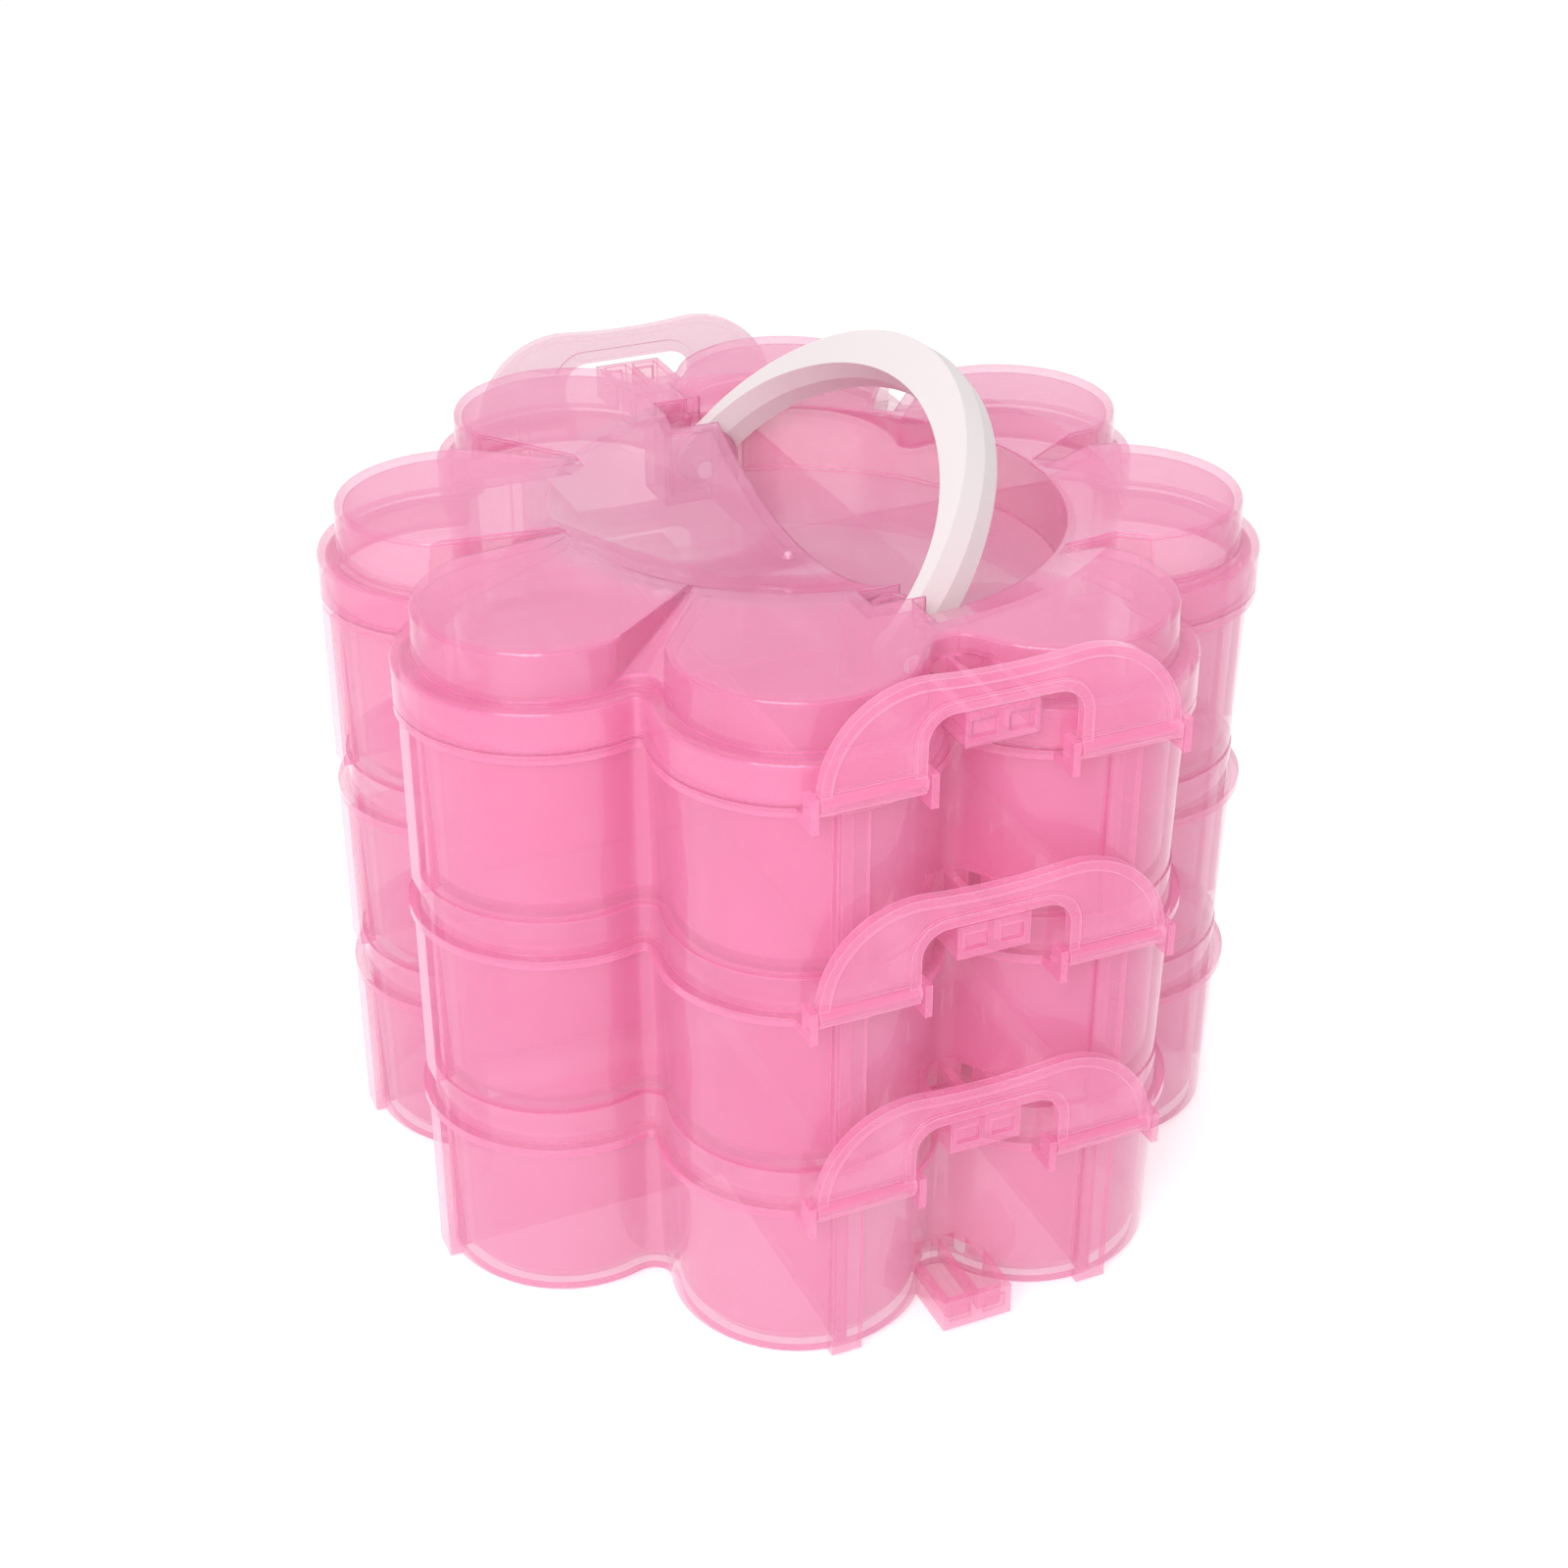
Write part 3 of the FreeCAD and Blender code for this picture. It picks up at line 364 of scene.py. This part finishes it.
@dataclass(frozen=True)
class WarmWhite:
    """Opaque satin plastic of the handle, with faint flow marks and a fine grain."""

    name: str
    light: Colour = (0.80, 0.74, 0.745)
    shade: Colour = (0.77, 0.71, 0.715)
    flow_scale: float = 60.0
    flow_detail: float = 3.0
    grain_scale: float = 2400.0
    grain_detail: float = 1.0
    grain_depth: float = 0.02 * MM
    roughness: float = 0.34
    roughness_spread: float = 0.12
    ior: float = 1.46

    def material(self) -> bpy.types.Material:
        """Build the material.

        Returns:
            A procedural satin plastic.
        """
        material = bpy.data.materials.new(self.name)
        tree = ShaderTree(material)
        flow = tree.noise(self.flow_scale, self.flow_detail)
        grain = tree.noise(self.grain_scale, self.grain_detail)
        values = {
            "Base Color": tree.mix(flow, opaque(self.light), opaque(self.shade)),
            "Roughness": self.roughness + grain * self.roughness_spread,
            "IOR": self.ior,
            "Normal": tree.bump(grain, self.grain_depth),
        }
        tree.plastic(values)
        return material


@dataclass(frozen=True)
class PaleFloor:
    """Studio floor that stays white to the camera and keeps a soft shadow."""

    name: str
    light: Colour = (0.90, 0.90, 0.90)
    shade: Colour = (0.88, 0.88, 0.88)
    cloud_scale: float = 3.0
    cloud_detail: float = 2.0
    roughness: float = 0.9
    lift: float = 0.38

    def material(self) -> bpy.types.Material:
        """Build the material.

        Returns:
            A matt floor with a little own light for rays that show it.
        """
        material = bpy.data.materials.new(self.name)
        tree = ShaderTree(material)
        cloud = tree.noise(self.cloud_scale, self.cloud_detail)
        values = {
            "Base Color": tree.mix(cloud, opaque(self.light), opaque(self.shade)),
            "Roughness": self.roughness,
            "Specular IOR Level": 0.0,
            "Emission Color": tree.mix(tree.shown(), opaque(BLACK), opaque(WHITE)),
            "Emission Strength": self.lift,
        }
        tree.plastic(values)
        return material


def dress(node: str, material: bpy.types.Material) -> None:
    """Give one CAD node its finish.

    Args:
        node: The node's name.
        material: The finish.
    """
    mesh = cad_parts[node].data
    mesh.materials.clear()
    mesh.materials.append(material)
    log.info("dressed %s with %s", node, material.name)


@dataclass
class TrayStack:
    """Three nested trays with their crossed dividers."""

    walls: ClearPink = ClearPink("tray_clear_pink")
    plates: ClearPink = ClearPink("divider_clear_pink", face_cover=0.22)

    def dress(self) -> None:
        """Give every tray and divider its finish."""
        walls = self.walls.material()
        plates = self.plates.material()
        for level in TrayLevel:
            dress("%s_tray" % level.label, walls)
            for side in ("left", "right", "front", "rear"):
                dress("%s_tray_divider_%s" % (level.label, side), plates)


@dataclass
class Latches:
    """Six swing latches, front and rear, the rear ones tinted darker and greyer as painted
    shade.
    """

    # Painted highlight: the pale edge tint lights the latch edges and edge-on faces like gloss
    # highlights on the rims and bottom edges.
    front: ClearPink = ClearPink(
        "latch_clear_pink", edge_tint=(0.99, 0.60, 0.76), face_cover=0.34, edge_cover=0.55)
    # Painted shade: the rear latches are the same plastic, drawn darker and greyer as the side
    # that gets less light.
    rear_shade: Colour = (0.78, 0.36, 0.52)

    def dress(self) -> None:
        """Give every latch its finish."""
        # The rear finish takes the painted shade colour as its tint and deep colour.
        rear = replace(self.front, name="latch_smoky_pink", tint=self.rear_shade, deep=self.rear_shade)
        for side, finish in (("front", self.front), ("rear", rear)):
            plastic = finish.material()
            for level in TrayLevel:
                dress("%s_latch_%s" % (level.label, side), plastic)


@dataclass
class Lid:
    """Petal lid with its recess and the moulding nub in the bowl."""

    # The lid's middle tint is painted shade of the recess and bowl, darker and greyer than the
    # petals.
    plastic: ClearPink = ClearPink(
        "lid_clear_pink", tint=(0.97, 0.31, 0.56), deep=(0.96, 0.26, 0.51),
        edge_tint=(0.985, 0.20, 0.49), recess_shade_tint=(0.84, 0.31, 0.52),
        middle_reach=46.0 * MM, face_cover=0.32, graze_cover=0.95, edge_cover=0.85,
        edge_width=0.5 * MM, edge_softness=1.0 * MM)
    # Painted highlight: the nub is drawn pale and nearly opaque so that it reads as the glint on
    # it.
    nub_glint_plastic: ClearPink = ClearPink(
        "nub_painted_glint_pink", tint=(0.96, 0.80, 0.86), face_cover=0.8)
    nub_radius: float = 1.0 * MM
    nub_taper: float = 0.55
    nub_height: float = 1.0 * MM
    nub_rim: float = 0.2 * MM
    nub_segments: int = 20
    nub_rim_segments: int = 2
    nub_place: Vector = field(
        default_factory=lambda: Vector((-0.7 * MM, -1.0 * MM, 110.88 * MM)))

    def dress(self) -> None:
        """Give the lid its finish and set the nub."""
        dress("lid", self.plastic.material())
        self.build_nub(self.nub_glint_plastic.material())

    def build_nub(self, plastic: bpy.types.Material) -> None:
        """Model the small gate nub left in the middle of the bowl.

        Args:
            plastic: The nub's finish, drawn pale and nearly opaque as a painted highlight.
        """
        mesh = bpy.data.meshes.new("gate_nub")
        form = bmesh.new()
        made = bmesh.ops.create_cone(
            form, cap_ends=True, segments=self.nub_segments, radius1=self.nub_radius,
            radius2=self.nub_radius * self.nub_taper, depth=self.nub_height)
        bmesh.ops.translate(form, verts=made["verts"], vec=self.nub_place)
        rim = [
            edge for edge in form.edges
            if all(corner.co.z > self.nub_place.z for corner in edge.verts)]
        bmesh.ops.bevel(
            form, geom=rim, offset=self.nub_rim, affect="EDGES",
            segments=self.nub_rim_segments, profile=0.5, material=-1)
        bmesh.ops.recalc_face_normals(form, faces=form.faces)
        form.to_mesh(mesh)
        form.free()
        mesh.materials.append(plastic)
        nub = bpy.data.objects.new("gate_nub", mesh)
        bpy.context.scene.collection.objects.link(nub)
        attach(nub, "lid")
        log.info("built %s", nub.name)


@dataclass
class Handle:
    """Folding carry handle."""

    plastic: WarmWhite = WarmWhite("handle_warm_white")

    def dress(self) -> None:
        """Give the handle its finish."""
        dress("handle", self.plastic.material())


@dataclass(frozen=True)
class Softbox:
    """One area lamp that points at the object, in metres and watts."""

    name: str
    place: tuple[float, float, float]
    width: float
    height: float
    power: float


@dataclass
class Studio:
    """Floor, lamps and camera of the product picture."""

    floor_half: float = 4.0
    floor_cells: int = 2
    lens: float = 60.27
    sensor: float = 36.0
    near_clip: float = 0.01
    distance: float = 472.2 * MM
    elevation: float = math.radians(29.49)
    swing: float = math.radians(23.81)
    aim_height: float = 65.13 * MM
    photo_width: float = 1600.0
    axis_offset: float = -5.62
    ambient: float = 0.63
    clear_layers: int = 40
    lamps: tuple[Softbox, ...] = (
        Softbox("key_softbox", (-0.42, -0.55, 0.55), 0.5, 0.30, 4.3),
        Softbox("overhead_softbox", (0.10, 0.20, 0.90), 0.7, 0.7, 1.4),
    )

    def build(self) -> None:
        """Set up everything around the object."""
        self.build_floor()
        self.build_world()
        for lamp in self.lamps:
            self.build_lamp(lamp)
        self.build_camera()
        scene = bpy.context.scene
        scene.view_settings.view_transform = "Standard"
        scene.cycles.transparent_max_bounces = self.clear_layers

    def build_floor(self) -> None:
        """Lay a wide pale floor under the object."""
        mesh = bpy.data.meshes.new("studio_floor")
        form = bmesh.new()
        bmesh.ops.create_grid(
            form, x_segments=self.floor_cells, y_segments=self.floor_cells, size=self.floor_half)
        form.to_mesh(mesh)
        form.free()
        mesh.materials.append(PaleFloor("studio_floor").material())
        floor = bpy.data.objects.new("studio_floor", mesh)
        bpy.context.scene.collection.objects.link(floor)

    def build_world(self) -> None:
        """Even white surroundings, plain white where the camera sees them."""
        world = bpy.data.worlds.new("studio_world")
        tree = ShaderTree(world)
        level = (self.ambient, self.ambient, self.ambient)
        light = tree.mix(tree.shown(), opaque(level), opaque(WHITE))
        sky = tree.add("ShaderNodeBackground", {}, {"Color": light, "Strength": 1.0})
        tree.add("ShaderNodeOutputWorld", {}, {"Surface": sky.outputs[0]})
        bpy.context.scene.world = world

    def aimed(self, place: Vector) -> Matrix:
        """Pose of a lamp or camera that looks at the object.

        Args:
            place: Where it stands.

        Returns:
            Its world matrix.
        """
        aim = Vector((0.0, 0.0, self.aim_height)) - place
        turn = aim.to_track_quat("-Z", "Y").to_matrix().to_4x4()
        return Matrix.Translation(place) @ turn

    def build_lamp(self, lamp: Softbox) -> None:
        """Hang one lamp.

        Args:
            lamp: Its sizes, place and power.
        """
        data = bpy.data.lights.new(lamp.name, "AREA")
        data.shape = "RECTANGLE"
        data.size = lamp.width
        data.size_y = lamp.height
        data.energy = lamp.power
        light = bpy.data.objects.new(lamp.name, data)
        light.matrix_world = self.aimed(Vector(lamp.place))
        bpy.context.scene.collection.objects.link(light)

    def build_camera(self) -> None:
        """Put the camera where the photograph was taken from."""
        data = bpy.data.cameras.new("photo_camera")
        data.sensor_width = self.sensor
        data.lens = self.lens
        data.shift_x = self.axis_offset / self.photo_width
        data.clip_start = self.near_clip
        camera = bpy.data.objects.new("photo_camera", data)
        level = self.distance * math.cos(self.elevation)
        place = Vector((
            -level * math.sin(self.swing),
            -level * math.cos(self.swing),
            self.aim_height + self.distance * math.sin(self.elevation)))
        camera.matrix_world = self.aimed(place)
        bpy.context.scene.collection.objects.link(camera)
        bpy.context.scene.camera = camera


def main() -> None:
    """Build and dress the caddy, then the studio around it."""
    logging.basicConfig(level=logging.INFO, format="%(name)s: %(message)s")
    TrayStack().dress()
    Latches().dress()
    Lid().dress()
    Handle().dress()
    Studio().build()


if __name__ == "__main__":
    main()
